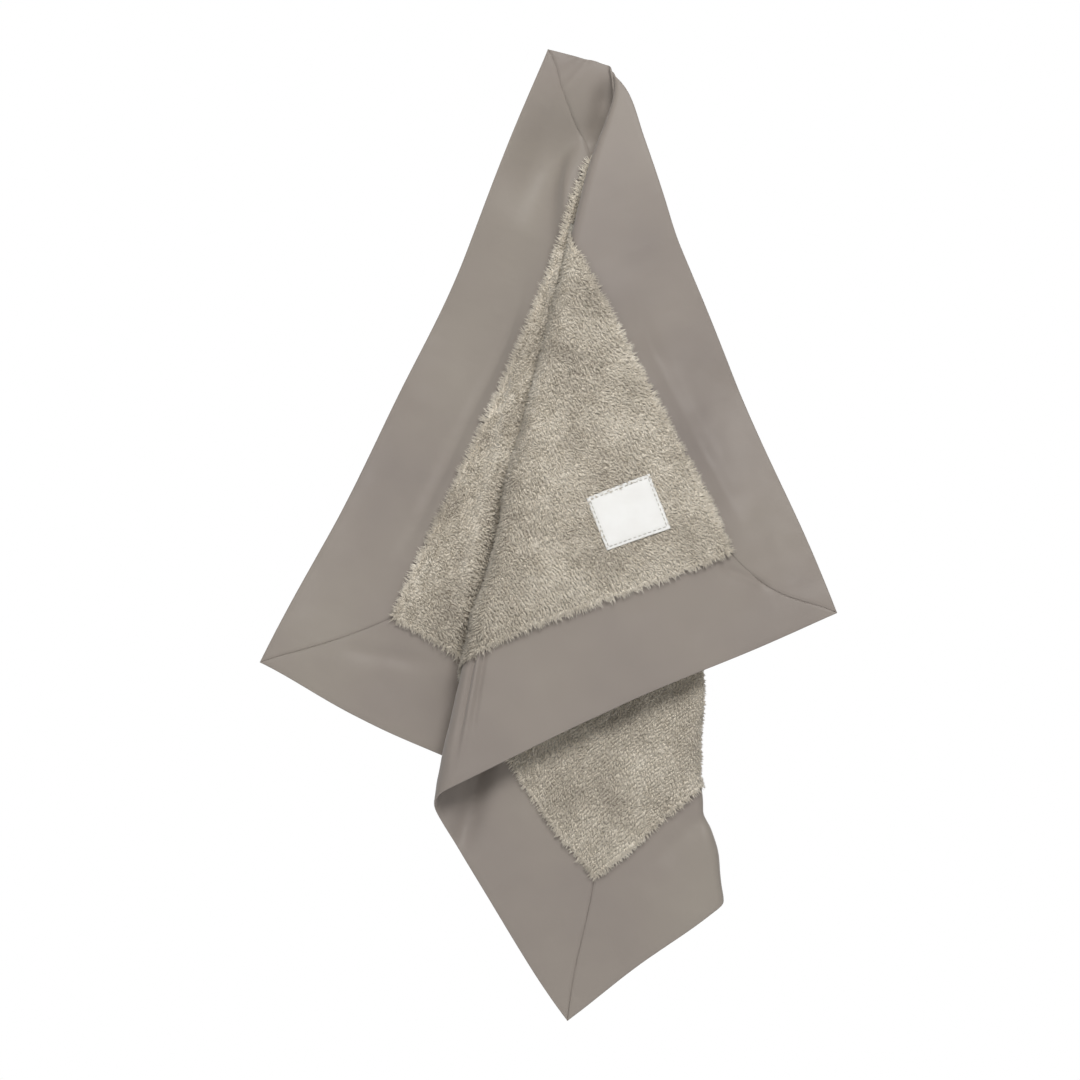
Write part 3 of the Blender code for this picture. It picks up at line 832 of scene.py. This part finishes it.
def locks(along, across, draw):
    """Each tuft's small lock of fibres: its middle, then its turn, lean and size from -1 to 1."""
    size = round(SIDE / LOCK_LENGTH) + 1
    column, row = (along // LOCK_LENGTH).astype(int), (across // LOCK_LENGTH).astype(int)
    own = draw.uniform(-1, 1, (5, size, size))[:, column, row]
    middle = np.stack((column, row)) + 0.5 + LOCK_JITTER_SHARE * own[:2]
    return *(middle * LOCK_LENGTH), *own[2:]


def plush_panels(material, backing):
    for face, facing, lay, length_share in PLUSH_SIDES:
        seed = SEED + 20 * (facing + 2)
        # The backing gets the darker copy of the plush, painted shade between the tufts.
        base = plush_base(f"plush_{face}_panel", facing, seed, backing)
        dress(base, "plush", f"plush_{face}")
        halves = plush_pile(f"plush_{face}_tufts", facing, seed, material, lay, length_share)
        for half in halves:
            dress(half, "plush")


# Label

def label_directions():
    """Flat steps, as columns, that lead one unit right and down on the label as it hangs."""
    centre = np.array(LABEL_CENTRE_SHARE) * SIDE
    by_flat = np.stack([(middle_surface(*(centre + step)) - middle_surface(*(centre - step)))
                        / (2 * NORMAL_STEP) for step in NORMAL_STEP * np.eye(2)], axis=-1)
    normal = np.cross(by_flat[:, 0], by_flat[:, 1])
    normal /= np.linalg.norm(normal)
    tilted = np.array((math.cos(LABEL_TILT), 0, math.sin(LABEL_TILT)))
    right = tilted - tilted @ normal * normal
    right /= np.linalg.norm(right)
    down = np.cross(right, normal)
    return np.linalg.lstsq(by_flat, np.stack((right, down), axis=-1), rcond=None)[0]


LABEL_DIRECTIONS = label_directions()


def label_flat(right, down):
    """Flat places on the label, from its centre."""
    right, down = np.broadcast_arrays(right, down)
    return [LABEL_CENTRE_SHARE[axis] * SIDE + right * LABEL_DIRECTIONS[axis, 0]
            + down * LABEL_DIRECTIONS[axis, 1] for axis in range(2)]


def from_label(along, across):
    """How far flat places lie right of the label's centre and below it."""
    steps = np.stack((along, across), axis=-1) - np.array(LABEL_CENTRE_SHARE) * SIDE
    placed = steps @ np.linalg.inv(LABEL_DIRECTIONS).T
    return placed[..., 0], placed[..., 1]


def label_base_height():
    """Height of the label's inner face, pressed into the pile a little."""
    return GAP / 2 + PLUSH_THICKNESS + GAP - LABEL_SINK


def label(material, thread):
    """A soft, slightly pillowed tape with rounded edges, held by a ring of short stitches."""
    across_count = round(LABEL_LENGTH / LABEL_STEP)
    down_count = round(LABEL_HEIGHT / LABEL_STEP)
    right = np.linspace(-0.5, 0.5, across_count + 1) * LABEL_LENGTH
    down = np.linspace(-0.5, 0.5, down_count + 1) * LABEL_HEIGHT
    right, down = np.meshgrid(right, down, indexing="ij")
    edge = np.minimum(LABEL_LENGTH / 2 - np.abs(right), LABEL_HEIGHT / 2 - np.abs(down))
    low = np.full(edge.shape, label_base_height())
    seam = np.exp(-((edge - STITCH_INSET) / LABEL_SEAM_WIDTH) ** 2)
    crown = LABEL_CROWN * np.clip((edge - STITCH_INSET) / LABEL_CROWN_REACH, 0, 1) ** 0.5
    ripple = layered_noise(right / LABEL_RIPPLE_LENGTH, down / LABEL_RIPPLE_LENGTH, SEED + 50)
    rounded = np.clip(edge / LABEL_EDGE, LABEL_EDGE_LEAST, 1) ** 0.5
    high = (low + LABEL_THICKNESS * rounded + crown + LABEL_RIPPLE * ripple
            - LABEL_SEAM_DEPTH * seam)
    along, across = label_flat(right, down)
    piece = closed_sheet("woven_label", along, across, low, high, material)
    dress(piece, "label", "label")
    stitches(thread)


def stitches(material):
    """Short stitches in a ring just inside the label's edge, as one mesh of small capsules."""
    half_length, half_height = LABEL_LENGTH / 2 - STITCH_INSET, LABEL_HEIGHT / 2 - STITCH_INSET
    corners = [(-1, -1), (1, -1), (1, 1), (-1, 1)]
    surface = label_base_height() + LABEL_THICKNESS - STITCH_SINK
    points, faces = [], []
    for (x0, y0), (x1, y1) in zip(corners, corners[1:] + corners[:1]):
        start = np.array((x0 * half_length, y0 * half_height))
        end = np.array((x1 * half_length, y1 * half_height))
        run = np.linalg.norm(end - start)
        count = round(run / STITCH_PITCH)
        for k in range(count):
            middle = start + (end - start) * (k + 0.5) / count
            step = (end - start) / run * STITCH_LENGTH / 2
            add_stitch(points, faces, middle, step, surface)
    mesh = mesh_object("label_stitches", np.array(points), faces, material)
    dress(mesh, "thread", "label_stitching")


def add_stitch(points, faces, middle, step, surface):
    """One stitch: a slim arched capsule, sunk at its ends."""
    sides, rings = STITCH_SIDES, STITCH_RINGS
    first = len(points)
    for ring in range(rings):
        part = 2 * ring / (rings - 1) - 1
        girth = THREAD_RADIUS * math.sqrt(max(STITCH_END_SHARE, 1 - part ** 4))
        place = middle + step * part
        lift = surface + STITCH_ARCH * (1 - part * part) - STITCH_SINK
        across_step = np.array((-step[1], step[0])) / np.linalg.norm(step)
        for side in range(sides):
            corner = 2 * math.pi * side / sides
            spot = place + across_step * girth * math.cos(corner)
            along, across = label_flat(spot[0], spot[1])
            points.append(hung(along, across, lift + girth * math.sin(corner)).tolist())
    for ring in range(rings - 1):
        for side in range(sides):
            a = first + ring * sides + side
            b = first + ring * sides + (side + 1) % sides
            faces.append([a, a + sides, b + sides, b])
    for ring in (0, rings - 1):
        rim = [first + ring * sides + side for side in range(sides)]
        if ring > 0:
            rim.reverse()
        faces.extend([rim[0], rim[k], rim[k + 1], rim[k + 2]] for k in range(1, sides - 2, 2))


# Putting the pieces on the frame

def dress(piece, slot, *nodes):
    """Tie a piece to the body and to the solids that it stands for; its slot is not used."""
    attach(piece, "root")
    if nodes:
        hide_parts(*nodes)


# Stage, lights and camera

def seen_by(nodes, links, *rays):
    """1 for either of two kinds of ray, and 0 for the others."""
    path = nodes.new("ShaderNodeLightPath")
    seen = nodes.new("ShaderNodeMath")
    seen.operation = "MAXIMUM"
    for number, ray in enumerate(rays):
        links.new(path.outputs[ray], seen.inputs[number])
    return seen.outputs[0]


def floor_paint():
    """A pale floor that the camera sees as nearly white, with the object's shadow kept."""
    material = bpy.data.materials.new("floor_paint")
    material.use_nodes = True
    nodes, links = material.node_tree.nodes, material.node_tree.links
    shader = nodes["Principled BSDF"]
    shader.inputs["Base Color"].default_value = (0.9, 0.9, 0.9, 1)
    shader.inputs["Roughness"].default_value = 0.9
    glow = nodes.new("ShaderNodeEmission")
    mix = nodes.new("ShaderNodeMixShader")
    share = nodes.new("ShaderNodeMath")
    share.operation = "MULTIPLY"
    share.inputs[1].default_value = FLOOR_GLOW_SHARE
    links.new(seen_by(nodes, links, "Is Camera Ray", "Is Glossy Ray"), share.inputs[0])
    links.new(share.outputs[0], mix.inputs["Fac"])
    links.new(shader.outputs[0], mix.inputs[1])
    links.new(glow.outputs[0], mix.inputs[2])
    links.new(mix.outputs[0], nodes["Material Output"].inputs["Surface"])
    return material


def stage():
    """A floor for the shadow, which isn't part of the object."""
    floor_height = cad_box[0][2] - FLOOR_DROP
    bpy.ops.mesh.primitive_plane_add(size=FLOOR_SIZE, location=(0, 0, floor_height))
    floor = bpy.context.object
    floor.name = "floor"
    floor.data.materials.append(floor_paint())


def world():
    """White to the camera, and dimmer as a light."""
    made = bpy.data.worlds.new("studio")
    bpy.context.scene.world = made
    made.use_nodes = True
    nodes, links = made.node_tree.nodes, made.node_tree.links
    background = nodes["Background"]
    background.inputs["Color"].default_value = (1, 1, 1, 1)
    level = nodes.new("ShaderNodeMapRange")
    level.inputs["To Min"].default_value = WORLD_STRENGTH
    level.inputs["To Max"].default_value = 1.0
    links.new(seen_by(nodes, links, "Is Camera Ray", "Is Transmission Ray"),
              level.inputs["Value"])
    links.new(level.outputs["Result"], background.inputs["Strength"])


def lights():
    """Large soft lamps, all turned to LIGHTS_AIM."""
    for name, place, size, power in LIGHTS:
        data = bpy.data.lights.new(name, "AREA")
        data.shape = "DISK"
        data.size = size
        data.energy = power
        light = bpy.data.objects.new(name, data)
        light.location = place
        way = Vector(LIGHTS_AIM) - Vector(place)
        light.rotation_euler = way.to_track_quat("-Z", "Y").to_euler()
        bpy.context.scene.collection.objects.link(light)


def camera():
    """Straight in front of the picture's middle, with the pinch at PINCH_PIXEL."""
    centre = (PICTURE_PIXELS / 2 - PINCH_PIXEL[0], PINCH_PIXEL[1] - PICTURE_PIXELS / 2)
    data = bpy.data.cameras.new("camera")
    data.sensor_width = SENSOR / MM
    data.lens = SENSOR * CAMERA_DISTANCE / (PICTURE_PIXELS * PIXEL) / MM
    data.clip_end = CAMERA_FAR
    view = bpy.data.objects.new("camera", data)
    view.location = (centre[0] * PIXEL, -CAMERA_DISTANCE, centre[1] * PIXEL)
    view.rotation_euler = (math.pi / 2, 0, 0)
    bpy.context.scene.collection.objects.link(view)
    bpy.context.scene.camera = view


def main():
    bpy.context.scene.view_settings.view_transform = "Standard"
    camera()
    stage()
    world()
    lights()
    border(satin_material())
    # The backing's lower brightness is painted shade between the tufts.
    plush_panels(plush_material("plush_pile", brightness=1.0),
                 plush_material("plush_backing_painted_shade", brightness=0.6))
    label(label_material(), thread_material())


main()
